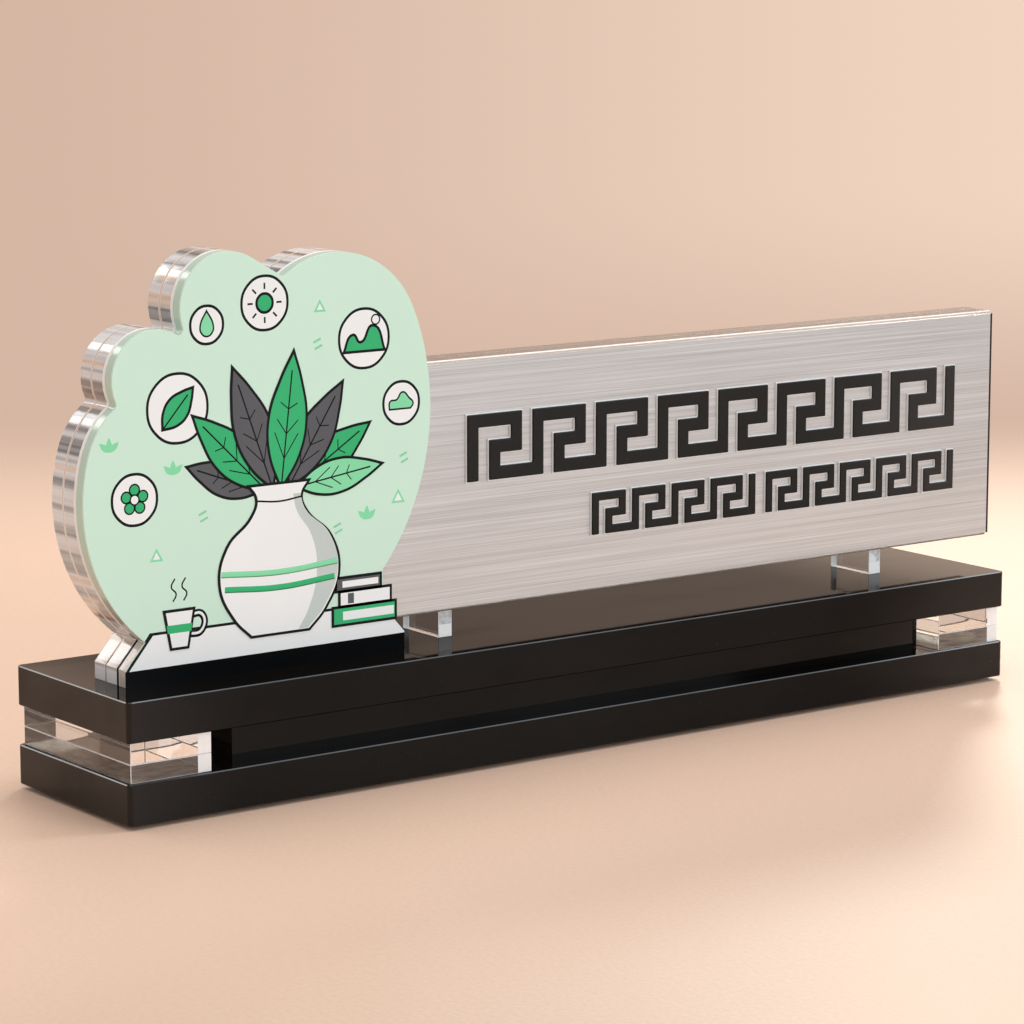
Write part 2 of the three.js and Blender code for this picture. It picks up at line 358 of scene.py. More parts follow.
gloss_black = make_gloss(
    "gloss_black", polished=0.56, wiped=0.46, coat_roughness=0.045,
    dark=(0.003, 0.0024, 0.002), dust=(0.05, 0.042, 0.036))
black_sheet = make_gloss(
    "black_sheet", polished=0.16, wiped=0.12, coat_roughness=0.16,
    dark=(0.002, 0.0022, 0.0025), dust=(0.03, 0.03, 0.03))
key_black = make_gloss(
    "key_black", polished=0.55, wiped=0.42, coat_roughness=0.22,
    dark=(0.014, 0.0135, 0.013), dust=(0.05, 0.05, 0.05))

# %% [markdown]
# Clear acrylic is a refracting shader. Light that is cast by a lamp can't find its way through
# refracting walls in a path tracer, so for shadow rays alone the sheet is let through by its alpha.

# %% Clear acrylic
ACRYLIC_IOR = 1.49
LET_PAST = 0.9


def let_light_past(material):
    tree = material.node_tree
    path = add_node(tree, "ShaderNodeLightPath")
    alpha = math_node(tree, "MULTIPLY_ADD", path.outputs["Is Shadow Ray"], -LET_PAST, 1.0)
    tree.links.new(alpha, tree.nodes["Principled BSDF"].inputs["Alpha"])


clear_acrylic = two_tone(
    "clear_acrylic", (0.955, 0.965, 0.96), (0.97, 0.98, 0.975), 35.0,
    IOR=ACRYLIC_IOR, Transmission_Weight=1.0, Roughness=0.012)
let_light_past(clear_acrylic)

# %% [markdown]
# The flat faces of a sheet are smooth, but its cut edges were polished with a flame. Their waves
# break what is seen in them into straight light and dark bands, which run through the thickness.
# These bands are painted into the colour of the edge, as painted reflections. Broad bands give the
# main rhythm, fine ones break it up, and a few take the warm tone of the wall, a painted reflection
# of it. Near the foot the edges are painted lighter, as painted light from the bright table that
# shines up into them.

# %% Cut edges
# Each kind of band has its scale, and the waves between which it turns from dark to light.
EDGE_BANDS = {"broad": (230.0, 0.43, 0.53), "fine": (800.0, 0.40, 0.60), "warm": (240.0, 0.54, 0.60)}
PAINTED_WALL_TINT = (1.0, 0.80, 0.68)
BROAD_SHARE = 0.7
FINE_SHARE = 0.22
TABLE_LIGHT_SHARE = 0.45
TABLE_LIGHT_TURN = (0.100, 0.045)

cut_edge, tree, sockets, coordinates = new_material(
    "cut_edge", IOR=ACRYLIC_IOR, Transmission_Weight=0.32, Roughness=0.08)
bands = {}
for kind, (scale, low, high) in EDGE_BANDS.items():
    waves = use_group(tree, polish, coordinates, Wave_Scale=scale)["Waves"]
    bands[kind] = mapped(tree, waves, low, high)
# Painted light: the edges are lighter near the foot, where the bright table shines up.
painted_table_light = mapped(tree, part_of(tree, coordinates, "Z"), *TABLE_LIGHT_TURN, 0.0, TABLE_LIGHT_SHARE)
light = math_node(
    tree, "MULTIPLY_ADD", bands["fine"], FINE_SHARE,
    math_node(tree, "MULTIPLY_ADD", bands["broad"], BROAD_SHARE, painted_table_light))
# Painted reflections: the bands set the colour between dark grey and white, and the warm ones tint it
# like the wall.
painted_band_colour = blend_colours(tree, light, (0.17, 0.18, 0.20), (1.0, 1.0, 1.0))
tree.links.new(
    blend_colours(tree, bands["warm"], painted_band_colour, PAINTED_WALL_TINT, "MULTIPLY"), sockets["Base Color"])
tree.links.new(bump_normal(tree, bands["broad"], strength=0.02, distance=0.001), sockets["Normal"])
let_light_past(cut_edge)

# %% [markdown]
# The front sheet of the lobed plate is clear too, but it is bonded all over to the print before it
# and to the white backing behind it. Light that runs inside it keeps meeting their colours. That
# light is painted into the colour of the sheet, which is mostly matt: painted light, pale green
# beside the print and warmer near the foot.

# %% Front acrylic with painted light
GREEN_LIGHT_TURN = (0.050, 0.085)
GREEN_LIGHT_WANDER = 0.03

painted_light_acrylic, tree, sockets, coordinates = new_material(
    "painted_light_acrylic", Transmission_Weight=0.25, Roughness=0.14, IOR=ACRYLIC_IOR)
streaks = noise_node(tree, stretched(tree, coordinates, THROUGH), 160.0)
wander = math_node(tree, "MULTIPLY_ADD", streaks, GREEN_LIGHT_WANDER, part_of(tree, coordinates, "Z"))
painted_green_light = mapped(tree, wander, *GREEN_LIGHT_TURN)
# Painted light: pale green higher up beside the print, warmer towards the foot.
tree.links.new(
    blend_colours(tree, painted_green_light, (0.68, 0.58, 0.52), (0.62, 0.82, 0.68)), sockets["Base Color"])

# %% [markdown]
# Not every edge of a clear sheet is polished. The small bevels are matt and look white, where light
# comes out of them, and a strip of each block's front has that white as painted light. The lower
# edge of the bar is dull and dark brown. The lower faces of the blocks are painted dark brown with
# lighter patches, a painted reflection of the black slab under them with painted glints.

# %% Matt edges, the dark edge of the bar, and the painted reflection under a block
SPOT_CONTRAST = 2.4
SPOT_LEVEL = -0.9

matt_edge = two_tone(
    "matt_edge", (0.90, 0.89, 0.88), (1.0, 0.99, 0.98), 900.0,
    Transmission_Weight=0.2, Roughness=0.45, IOR=ACRYLIC_IOR)
# Dark brown, for the lower edge of the bar and the top bevels of its rear sheet.
dark_brown_edge = two_tone(
    "dark_brown_edge", (0.20, 0.175, 0.155), (0.27, 0.24, 0.215), 60.0, Roughness=0.5, IOR=1.3)

# Painted reflection: dark brown with lighter patches, standing for the black slab seen in the block and
# for glints.
painted_slab_reflection, tree, sockets, coordinates = new_material("painted_slab_reflection", Roughness=0.35, IOR=1.3)
patches = noise_node(tree, coordinates, 170.0, 3.0, 0.6)
thickness = math_node(tree, "MULTIPLY_ADD", patches, SPOT_CONTRAST, SPOT_LEVEL)
tree.links.new(
    blend_colours(tree, thickness, (0.05, 0.04, 0.034), (0.50, 0.38, 0.30)), sockets["Base Color"])

# %% [markdown]
# The mounting film between two clear sheets can hardly be seen through its broad faces, while its
# edge shows as a thin brown line. So it has two finishes. The backing and the feet are plain.
# The print's ground is a pale green ink under a satin film.

# %% Bond film, white backing, rubber and the printed ground
film_face = two_tone(
    "film_face", (0.78, 0.77, 0.75), (0.90, 0.89, 0.87), 60.0, Roughness=0.2, IOR=1.2, Alpha=0.08)
bond_film = two_tone(
    "bond_film", (0.50, 0.36, 0.28), (0.72, 0.56, 0.46), 60.0, Roughness=0.35, IOR=1.2, Alpha=0.45)
white_backing = two_tone(
    "white_backing", (0.80, 0.79, 0.76), (0.86, 0.85, 0.83), 80.0, 3.0, Roughness=0.45)
foot_rubber = two_tone(
    "foot_rubber", (0.008, 0.008, 0.008), (0.02, 0.02, 0.02), 1800.0, Roughness=0.85)
printed_face = two_tone(
    "printed_face", (0.555, 0.765, 0.625), (0.595, 0.80, 0.665), 22.0, 3.0, Roughness=0.4, IOR=1.45)

# %% [markdown]
# On brushed steel each scratch changes three things at once: the tone of the metal, how sharply it
# mirrors, and its relief. So the same lines drive all three. Broad soft patches lie over them, and
# towards its lower edge the metal is painted lighter, as painted light from the table below it.

# %% Brushed steel
BROAD_PATCH = (7, 1, 26)
PATCH_CONTRAST = 0.3
LINE_CONTRAST = 1.6
PAINTED_LIGHT_BY_HEIGHT = -3.3
TONE_LEVEL = -0.2
SMOOTHEST = 0.26
ROUGHER_BY = 0.22

brushed_steel, tree, sockets, coordinates = new_material(
    "brushed_steel", Metallic=1.0, Anisotropic=0.6)
lines = use_group(tree, brush, coordinates, Coarse_Share=0.3)["Lines"]
broad = noise_node(tree, stretched(tree, coordinates, BROAD_PATCH), 1.0)
# Painted light: the tone rises towards the lower edge of the steel.
steel_painted_light = math_node(
    tree, "MULTIPLY_ADD", part_of(tree, coordinates, "Z"), PAINTED_LIGHT_BY_HEIGHT, TONE_LEVEL)
streaks = math_node(tree, "MULTIPLY_ADD", lines, LINE_CONTRAST, steel_painted_light)
tone = math_node(tree, "MULTIPLY_ADD", broad, PATCH_CONTRAST, streaks)
tree.links.new(
    blend_colours(tree, tone, (0.33, 0.335, 0.342), (0.80, 0.81, 0.82)), sockets["Base Color"])
tree.links.new(
    math_node(tree, "MULTIPLY_ADD", lines, ROUGHER_BY, SMOOTHEST), sockets["Roughness"])
tree.links.new(bump_normal(tree, lines, strength=0.12, distance=0.0002), sockets["Normal"])

# %% [markdown]
# Finishes on the solids that keep their shape
#
# These solids are right as they are, so only their material changes. The bond films get a second
# one, for their broad faces.

# %% Dress the loaded solids
BROAD_FACE = 0.5
FEET = ("front_left", "front_right", "rear_left", "rear_right")
solid_finishes = {
    "base_core": gloss_black,
    "plate_bond_film": bond_film,
    "bar_bond_film": bond_film,
    "plate_backing_sheet": white_backing,
    "ledge_backing_sheet": black_sheet,
    "plate_print_sheet": printed_face,
    "foot_strip": black_sheet,
    "bar_steel_face": brushed_steel,
}
for foot in FEET:
    solid_finishes["bumper_foot_" + foot] = foot_rubber
for name, material in solid_finishes.items():
    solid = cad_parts[name].data
    solid.materials.clear()
    solid.materials.append(material)
for name in ("plate_bond_film", "bar_bond_film"):
    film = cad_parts[name].data
    film.materials.append(film_face)
    for face in film.polygons:
        face.material_index = int(abs(face.normal.y) > BROAD_FACE)
print("dressed", len(solid_finishes), "solids")

# %% [markdown]
# The black slabs
#
# The slabs have softened edges, and it is these that catch the light as a thin line. A box is
# given round upright corners first, and then a small flat chamfer on its rims. The lower slab also
# has a round recess for each foot, a little wider than the foot, and a cylinder cuts it out.

# %% Helpers for a softened box
SAME_PLACE = 1e-6
SHARP_ANGLE = 40


def add_block(low, high):
    """A block between two corners."""
    bpy.ops.object.select_all(action="DESELECT")
    bpy.ops.mesh.primitive_cube_add(size=1, location=[(a + b) / 2 for a, b in zip(low, high)])
    block = bpy.context.object
    block.scale = [b - a for a, b in zip(low, high)]
    apply_place(block)
    return block


def bevel_edges(piece, wanted, radius, segments):
    """Bevel the edges that are wanted, as judged by the places of their two corners."""
    edit_chosen(
        piece, "EDGE", lambda edge: wanted(*(piece.data.vertices[i].co for i in edge.vertices)))
    bpy.ops.mesh.bevel(offset=radius, segments=segments, affect="EDGES")
    leave_edit()


def upright(a, b):
    return abs(a.x - b.x) < SAME_PLACE and abs(a.y - b.y) < SAME_PLACE


def cut_with(piece, cutter, operation):
    cut = piece.modifiers.new("cut", "BOOLEAN")
    cut.operation = operation
    cut.solver = "EXACT"
    cut.object = cutter
    apply_modifiers(piece)
    bpy.data.objects.remove(cutter)


def soften(piece, angle=SHARP_ANGLE):
    """Shade small rounds smooth, and leave the large faces beside them flat."""
    only(piece)
    bpy.ops.object.shade_smooth_by_angle(angle=math.radians(angle))
    flat = piece.modifiers.new("flat faces", "WEIGHTED_NORMAL")
    flat.keep_sharp = True
    apply_modifiers(piece)


# %% Model the slabs
MM = 0.001
SLAB_CORNER = 1.2 * MM
SLAB_RIM = 0.24 * MM
RECESS_SPACE = 0.3 * MM
RECESS_SIDES = 48


def cut_recess(slab, slab_bottom, foot):
    low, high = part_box("bumper_foot_" + foot)
    bpy.ops.object.select_all(action="DESELECT")
    bpy.ops.mesh.primitive_cylinder_add(
        vertices=RECESS_SIDES, radius=(high.x - low.x) / 2 + RECESS_SPACE,
        depth=2 * (high.z - slab_bottom),
        location=((low.x + high.x) / 2, (low.y + high.y) / 2, slab_bottom))
    cut_with(slab, bpy.context.object, "DIFFERENCE")


for name in ("base_bottom_slab", "base_top_slab"):
    low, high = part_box(name)
    slab = add_block(low, high)
    bevel_edges(slab, upright, SLAB_CORNER, segments=5)
    bevel_edges(
        slab,
        lambda a, b: abs(a.z - b.z) < SAME_PLACE and min(a.z - low.z, high.z - a.z) < SAME_PLACE,
        SLAB_RIM, segments=1)
    if name == "base_bottom_slab":
        for foot in FEET:
            cut_recess(slab, low.z, foot)
    soften(slab)
    finish_piece(slab, name + "_softened", gloss_black, [name])

# %% [markdown]
# Clear sheets, posts and blocks
#
# A clear solid shows its inside, so it has to be one closed skin with real edges. Where two clear
# sheets only touch, a hair of air stays between them, and light that meets it at a slant is thrown
# back as by a mirror. That is what fills the edge of a thick sheet with bright and dark bands. Each
# sheet is copied from its solid, made a hair thinner, and gets small bevels.

# %% Helpers for a clear piece
AIR_GAP = 0.02 * MM
POLISHED_BEVEL = 0.15 * MM
CLEAR_SHARP_ANGLE = 25
CLEAR_FACE = 0
MATT_EDGE = 1
CUT_EDGE = 2
FOURTH_FINISH = 3


def bevel_rims(piece, width, segments, finish=-1):
    """Bevel all the sharp edges of a piece. The bevels may have a finish of their own."""
    rims = piece.modifiers.new("rims", "BEVEL")
    rims.width = width
    rims.segments = segments
    rims.limit_method = "ANGLE"
    rims.angle_limit = math.radians(SHARP_ANGLE)
    rims.material = finish
    apply_modifiers(piece)


def clear_edges(piece, bevel=POLISHED_BEVEL):
    """Give a clear piece its small matt bevels, and room for other finishes on chosen faces."""
    piece.data.materials.clear()
    for material in (clear_acrylic, matt_edge, cut_edge, painted_slab_reflection):
        piece.data.materials.append(material)
    bevel_rims(piece, bevel, segments=2, finish=MATT_EDGE)
    soften(piece, CLEAR_SHARP_ANGLE)


def dress_faces(piece, finish, wanted, instead_of=CLEAR_FACE):
    for face in piece.data.polygons:
        if face.material_index == instead_of and wanted(face):
            face.material_index = finish


def merged_copy(node):
    """A copy of a solid with its doubled corners merged. It is left in edit mode, all selected."""
    piece = bpy.data.objects.new(node + "_copy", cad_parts[node].data.copy())
    scene.collection.objects.link(piece)
    edit_all(piece)
    bpy.ops.mesh.remove_doubles(threshold=SAME_PLACE)
    return piece


def polished_copy(node, thin_axis, bevel=POLISHED_BEVEL):
    """A copy that is thinner by a hair of air on each of its two faces."""
    piece = merged_copy(node)
    low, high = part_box(node)
    stretch = [1.0, 1.0, 1.0]
    stretch[thin_axis] = 1 - 2 * AIR_GAP / (high[thin_axis] - low[thin_axis])
    bpy.ops.mesh.dissolve_limited(angle_limit=math.radians(0.5))
    bpy.ops.mesh.select_all(action="SELECT")
    bpy.ops.transform.resize(value=stretch, center_override=(low + high) / 2)
    leave_edit()
    clear_edges(piece, bevel)
    return piece


def cut_across(piece, place, direction):
    """Divide the faces of a piece along a plane, so that each part can have its own finish."""
    edit_all(piece)
    bpy.ops.mesh.bisect(plane_co=place, plane_no=direction)
    leave_edit()


# %% [markdown]
# The two rear sheets of the lobed plate show their flame polished edges, and the front one has
# painted light in its colour. The bar's front sheet has wider bevels. The lower edge of the bar is
# dull and dark brown, and the bevels on top of its rear sheet are dark brown too, because bright ones
# would show in the polished edge before them.

# %% Model the sheets
BAR_BEVEL = 0.3 * MM
SLANTED = 0.3

for name in ("plate_rear_sheet", "plate_middle_sheet", "plate_front_sheet"):
    sheet = polished_copy(name, 1)
    if name == "plate_front_sheet":
        sheet.data.materials[CLEAR_FACE] = painted_light_acrylic
    else:
        dress_faces(sheet, CUT_EDGE, lambda face: abs(face.normal.y) < BROAD_FACE)
    finish_piece(sheet, name + "_polished", None, [name])
for name, bevel in (("bar_rear_sheet", POLISHED_BEVEL), ("bar_front_sheet", BAR_BEVEL)):
    sheet = polished_copy(name, 1, bevel)
    sheet.data.materials[FOURTH_FINISH] = dark_brown_edge
    for finish in (CLEAR_FACE, MATT_EDGE):
        dress_faces(sheet, FOURTH_FINISH, lambda face: face.normal.z < -SLANTED, finish)
    if name == "bar_rear_sheet":
        dress_faces(sheet, FOURTH_FINISH, lambda face: face.normal.z > SLANTED, MATT_EDGE)
    finish_piece(sheet, name + "_polished", None, [name])

# %% [markdown]
# The ends of each post are matt white in their lower part, up to a set height, and flame polished
# above it. Each end is divided at that height, and the two parts get different finishes.

# %% Model the posts
WHITE_HEIGHT = 3.4 * MM
STRAIGHT = 0.9

for name in ("left_post", "right_post"):
    post = polished_copy(name, 2)
    white_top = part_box(name)[0].z + WHITE_HEIGHT
    cut_across(post, (0, 0, white_top), (0, 0, 1))
    dress_faces(
        post, MATT_EDGE,
        lambda face: abs(face.normal.y) > STRAIGHT and face.center.z < white_top)
    dress_faces(post, CUT_EDGE, lambda face: abs(face.normal.y) > STRAIGHT)
    finish_piece(post, name + "_polished", None, [name])

# %% [markdown]
# The clear blocks in the ends of the base are two sheets, one on the other, and their seam runs
# round them as a fine light line. A narrow strip of their front faces at the right end gets the
# white matt finish, as a painted strip of the light from the right that shines in through their
# ends.

# %% Model the end blocks
BLOCK_SEAM = 4.6 * MM
LIGHT_STRIP_WIDTH = 3.8 * MM


def end_block_sheet(node, part, bottom, top):
    low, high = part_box(node)
    block = add_block((low.x, low.y, bottom + AIR_GAP), (high.x, high.y, top - AIR_GAP))
    light_strip_from = high.x - LIGHT_STRIP_WIDTH
    cut_across(block, (light_strip_from, 0, 0), (1, 0, 0))
    clear_edges(block)
    # Painted light: the front faces within the strip at the right end are matt white.
    dress_faces(
        block, MATT_EDGE, lambda face: face.normal.y < -STRAIGHT and face.center.x > light_strip_from)
    if part == "lower_sheet":
        # Painted reflection of the black slab, with painted glints, on the lower face.
        dress_faces(block, FOURTH_FINISH, lambda face: face.normal.z < -STRAIGHT)
    finish_piece(block, node + "_" + part, None, [node])


for name in ("left_end_block", "right_end_block"):
    low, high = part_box(name)
    end_block_sheet(name, "lower_sheet", low.z, low.z + BLOCK_SEAM)
    end_block_sheet(name, "upper_sheet", low.z + BLOCK_SEAM, high.z)

# %% [markdown]
# At the foot of the plate the sheet behind the clear one is black. A thin white sheet before it is
# painted light, which keeps the black from darkening the clear sheet. It is a copy of the black
# sheet, pressed thin and moved before it.

# %% Model the white sheet of painted light
LIGHT_SHEET_SHARE = 0.12
low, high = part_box("ledge_backing_sheet")
painted_light_sheet = merged_copy("ledge_backing_sheet")
bpy.ops.transform.resize(value=(1, LIGHT_SHEET_SHARE, 1), center_override=(0, low.y, 0))
bpy.ops.transform.translate(value=(0, -LIGHT_SHEET_SHARE * (high.y - low.y), 0))
leave_edit()
finish_piece(painted_light_sheet, "shelf_painted_light", white_backing)

# %% [markdown]
# A narrow dark strip fills the margin between the right end of the steel and the end of the clear
# sheet behind it. It is painted shade, where that clear margin looks dark.

# %% Model the strip of painted shade at the end of the steel
SHADE_STRIP_CORNER = 0.15 * MM
steel_low, steel_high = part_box("bar_steel_face")
clear_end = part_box("bar_front_sheet")[1].x
strip = add_block(
    (steel_high.x, steel_low.y, steel_low.z), (clear_end, steel_high.y, steel_high.z))
bevel_edges(strip, upright, SHADE_STRIP_CORNER, segments=2)
soften(strip)
finish_piece(strip, "steel_end_painted_shade", gloss_black)

# %% [markdown]
# The raised ornament on the bar
#
# The bar carries two raised rows, cut from black gloss sheet and bonded to the steel. Each row is a
# running key: one line that turns back on itself. It is drawn below as a small picture, where each X
# is one square of black. A grid of squares gets the same picture by having its empty squares taken
# out, and the rest is pulled forward into a solid. Its edges are bevelled, as those of cut and
# polished acrylic are.

# %% A helper that models a running key
KEY_UNIT = (
    "XXXXX.",
    "X...X.",
    "X.XXX.",
    "X.X...",
    "X.XXXX",
)
UNIT_COLUMNS = len(KEY_UNIT[0])
KEY_ROWS = len(KEY_UNIT)


def key_columns(units):
    """The last unit is closed by one more upright."""
    return UNIT_COLUMNS * units + 1


def key_has(column, row, units):
    return column == UNIT_COLUMNS * units or KEY_UNIT[row][column % UNIT_COLUMNS] == "X"


def running_key(left, middle_z, cell, units, rise, margin=0.0):
    """A running key on the face of the steel, from its left end on, as one solid."""
    columns = key_columns(units)
    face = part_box("bar_steel_face")[0].y
    bpy.ops.object.select_all(action="DESELECT")
    bpy.ops.mesh.primitive_grid_add(
        x_subdivisions=columns, y_subdivisions=KEY_ROWS, size=1,
        location=(left + columns * cell / 2, face, middle_z), rotation=(math.radians(90), 0, 0))
    key = bpy.context.object
    key.scale = (columns * cell, KEY_ROWS * cell, 1)
    apply_place(key)
    top = middle_z + KEY_ROWS * cell / 2

    def is_empty(square):
        column = int((square.center.x - left) / cell)
        row = int((top - square.center.z) / cell)
        return not key_has(column, row, units)

    edit_chosen(key, "FACE", is_empty)
    bpy.ops.mesh.delete(type="FACE")
    bpy.ops.mesh.select_all(action="SELECT")
    bpy.ops.mesh.dissolve_limited(angle_limit=math.radians(1))
    bpy.ops.mesh.select_all(action="SELECT")
    bpy.ops.mesh.extrude_region_move(TRANSFORM_OT_translate={"value": (0, -rise, 0)})
    bpy.ops.mesh.select_all(action="SELECT")
    bpy.ops.mesh.normals_make_consistent(inside=False)
    if margin:
        bpy.ops.transform.shrink_fatten(value=margin, use_even_offset=True)
    leave_edit()
    return key


# %% [markdown]
# A large key stands above a small one, which is in two lengths, and all end at the same place. Each
# key has a thin white sheet under it, a little larger all round, which sets it off from the steel. It
# is a painted highlight, for the light line that the bevelled edges catch.

# %% Model the two rows
KEY_RISE = 0.95 * MM
KEY_BEVEL = 0.28 * MM
HALO_RISE = 0.22 * MM
HALO_MARGIN = 0.22 * MM
ROWS_END = 134.2 * MM
LARGE_CELL = 3.46 * MM
LARGE_UNITS = 8
LARGE_MIDDLE = 79.6 * MM
SMALL_CELL = 2.24 * MM
SMALL_UNITS = (4, 5)
SMALL_MIDDLE = 58.7 * MM
SMALL_SPACE = 3.8 * MM

large_left = ROWS_END - LARGE_CELL * key_columns(LARGE_UNITS)
small_right = ROWS_END - SMALL_CELL * key_columns(SMALL_UNITS[1])
small_left = small_right - SMALL_SPACE - SMALL_CELL * key_columns(SMALL_UNITS[0])
keys = {
    "key_large": (large_left, LARGE_MIDDLE, LARGE_CELL, LARGE_UNITS),
    "key_small_left": (small_left, SMALL_MIDDLE, SMALL_CELL, SMALL_UNITS[0]),
    "key_small_right": (small_right, SMALL_MIDDLE, SMALL_CELL, SMALL_UNITS[1]),
}
for name, place in keys.items():
    # Painted highlight: a white sheet under each key shows as a light line round it.
    halo_sheet = running_key(*place, rise=HALO_RISE, margin=HALO_MARGIN)
    finish_piece(halo_sheet, name + "_painted_halo", white_backing)
    key = running_key(*place, rise=KEY_RISE)
    bevel_rims(key, KEY_BEVEL, segments=3)
    soften(key)
    finish_piece(key, name, key_black)

# %% [markdown]
# The print
#
# The lobed plate carries a flat printed scene in a few colours. Printers lay such a picture down in
# layers, one ink over the other, and it is made the same way here. The scene itself is a plain
# still life of a vase with leaves, some books and a cup on a shelf. Every ink varies a little in
# tone, as an ink does that dries on plastic.

# %% Inks
INK_TONES = {
    "black": ((0.003, 0.0035, 0.004), (0.006, 0.007, 0.008)),
    "white": ((0.80, 0.81, 0.80), (0.86, 0.87, 0.86)),
    "shade": ((0.50, 0.56, 0.53), (0.56, 0.62, 0.59)),
    "slate": ((0.085, 0.085, 0.095), (0.12, 0.12, 0.13)),
    "green": ((0.035, 0.40, 0.15), (0.045, 0.46, 0.18)),
    "light_green": ((0.22, 0.66, 0.36), (0.26, 0.72, 0.41)),
}
inks = {
    colour: two_tone(
        "ink_" + colour, dark, light, 45.0, 3.0, Roughness=0.42, Specular_IOR_Level=0.12)
    for colour, (dark, light) in INK_TONES.items()
}

# %% [markdown]
# Each shape of ink is a flat curve drawn through a few points, in millimetres right of and up from
# the lower left corner of the plate. A black shape, a little larger, goes under each coloured one
# and shows as its outline.

# %% Helpers that draw a flat shape of ink
INK_STEP = 0.008 * MM
INK_OUTLINE = 0.7
strip_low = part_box("foot_strip")[0]
print_corner = Vector((strip_low.x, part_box("plate_print_sheet")[0].y, strip_low.z))
ink_shapes = {colour: [] for colour in inks}


def draw(colour, layer, points, corners=(), grow=0.0, stroke=0.0):
    """Ink through the points, filled, or with a stroke a line that ends at the last point.

    The curve is smooth but for the points whose numbers are in corners. All sizes are in mm.
    """
    curve = bpy.data.curves.new("ink", "CURVE")
    curve.dimensions = "2D"
    curve.resolution_u = 8
    spline = curve.splines.new("BEZIER")
    spline.bezier_points.add(len(points) - 1)
    for index, (knot, (u, v)) in enumerate(zip(spline.bezier_points, points)):
        knot.co = (u * MM, v * MM, 0)
        kind = "VECTOR" if index in corners else "AUTO"
        knot.handle_left_type = kind
        knot.handle_right_type = kind
    shape = bpy.data.objects.new("ink", curve)
    if stroke:
        middle = INK_STEP * (layer - 1)
        curve.fill_mode = "NONE"
        curve.bevel_depth = stroke * MM / 2
        curve.bevel_resolution = 1
        curve.use_fill_caps = True
        shape.scale.z = 2 * INK_STEP / (stroke * MM)
    else:
        middle = INK_STEP * layer / 2
        spline.use_cyclic_u = True
        curve.fill_mode = "BOTH"
        curve.extrude = middle
        curve.offset = grow * MM
    shape.location = print_corner + Vector((0, -middle, 0))
    shape.rotation_euler = (math.radians(90), 0, 0)
    scene.collection.objects.link(shape)
    ink_shapes[colour].append(shape)


def outlined(colour, layer, points, corners=(), outline=INK_OUTLINE):
    draw("black", layer, points, corners, grow=outline / 2)
    draw(colour, layer + 1, points, corners, grow=-outline / 2)


# %% Outlines that are used again and again
LEAF_TIPS = (0, 4)
LEAF_SIDES = (2, 6)
BOX_CORNERS = (0, 1, 2, 3)


def ring_of(u, v, radius, count=8, turn=0.0):
    angles = [turn + 2 * math.pi * i / count for i in range(count)]
    return [(u + radius * math.cos(a), v + radius * math.sin(a)) for a in angles]


def box_of(u, v, width, height):
    """A rectangle, from its lower left corner on."""
    return [(u, v), (u + width, v), (u + width, v + height), (u, v + height)]


def leaf_of(u, v, length, width, lean):
    """A leaf with its stalk end at (u, v), leaning to the right by so many degrees."""
    along_u = math.sin(math.radians(lean))
    along_v = math.cos(math.radians(lean))
    half = [(0.0, 0.0), (0.25, 0.40), (0.52, 0.50), (0.80, 0.27), (1.0, 0.0)]
    shape = half + [(run, -out) for run, out in reversed(half[1:-1])]
    return [
        (u + along_u * run * length + along_v * out * width,
         v + along_v * run * length - along_u * out * width)
        for run, out in shape
    ]


def part_way(first, last, share):
    return tuple(a + (b - a) * share for a, b in zip(first, last))


# %% [markdown]
# A leaf on the plant has a middle vein and three pairs of side veins, which point towards its tip.
# The vase is one outline, mirrored about its middle. Its right side is shaded, and two stripes run
# round it.

# %% Draw the leaves
VASE_MIDDLE = 44.0
VASE_FOOT = 8.2
VASE_HALF = ((8.5, 0), (13.5, 5), (17.5, 14), (15.2, 23), (8.0, 30), (6.6, 34), (8.8, 37.5))
LEAVES = (
    ("slate", 23, 8.5, -70), ("green", 27, 9.5, 58), ("green", 29, 10, -46), ("slate", 30, 10, 33),
    ("light_green", 26, 8.5, 82), ("slate", 33, 10.5, -20), ("green", 34, 11, 7),
)
LEAF_LAYERS = 3
LEAF_SPREAD = 5.0
STALK_DEPTH = 1.5
MIDDLE_VEIN_END = 0.86
SIDE_VEINS = (0.34, 0.52, 0.70)
VEIN_DROP = 0.12
VEIN_AIM = 0.42
VEIN_LENGTH = 0.62


def plant_leaf(colour, layer, u, v, length, width, lean):
    points = leaf_of(u, v, length, width, lean)
    stalk, tip = (points[i] for i in LEAF_TIPS)
    outlined(colour, layer, points, LEAF_TIPS)
    draw("black", layer + 2, [stalk, part_way(stalk, tip, MIDDLE_VEIN_END)], stroke=0.4)
    for share in SIDE_VEINS:
        start = part_way(stalk, tip, share - VEIN_DROP)
        for side in LEAF_SIDES:
            edge_point = part_way(points[side], tip, max(0.0, share - VEIN_AIM))
            vein_end = part_way(start, edge_point, VEIN_LENGTH)
            draw("black", layer + 2, [start, vein_end], stroke=0.28)


stalks_end = VASE_FOOT + VASE_HALF[-1][1] - STALK_DEPTH
for number, (colour, length, width, lean) in enumerate(LEAVES):
    stalk_u = VASE_MIDDLE + LEAF_SPREAD * math.sin(math.radians(lean))
    layer = LEAF_LAYERS * number + 1
    plant_leaf(colour, layer, stalk_u, stalks_end, length, width, lean)
print("leaves drawn:", len(LEAVES))

# %% Draw the vase
SHADE_FROM = 0.62
SHADE_INSET = 0.5
above_leaves = LEAF_LAYERS * len(LEAVES) + 1


def side_ends(count):
    """The corners of an outline that has two sides of so many points."""
    return 0, count - 1, count, 2 * count - 1


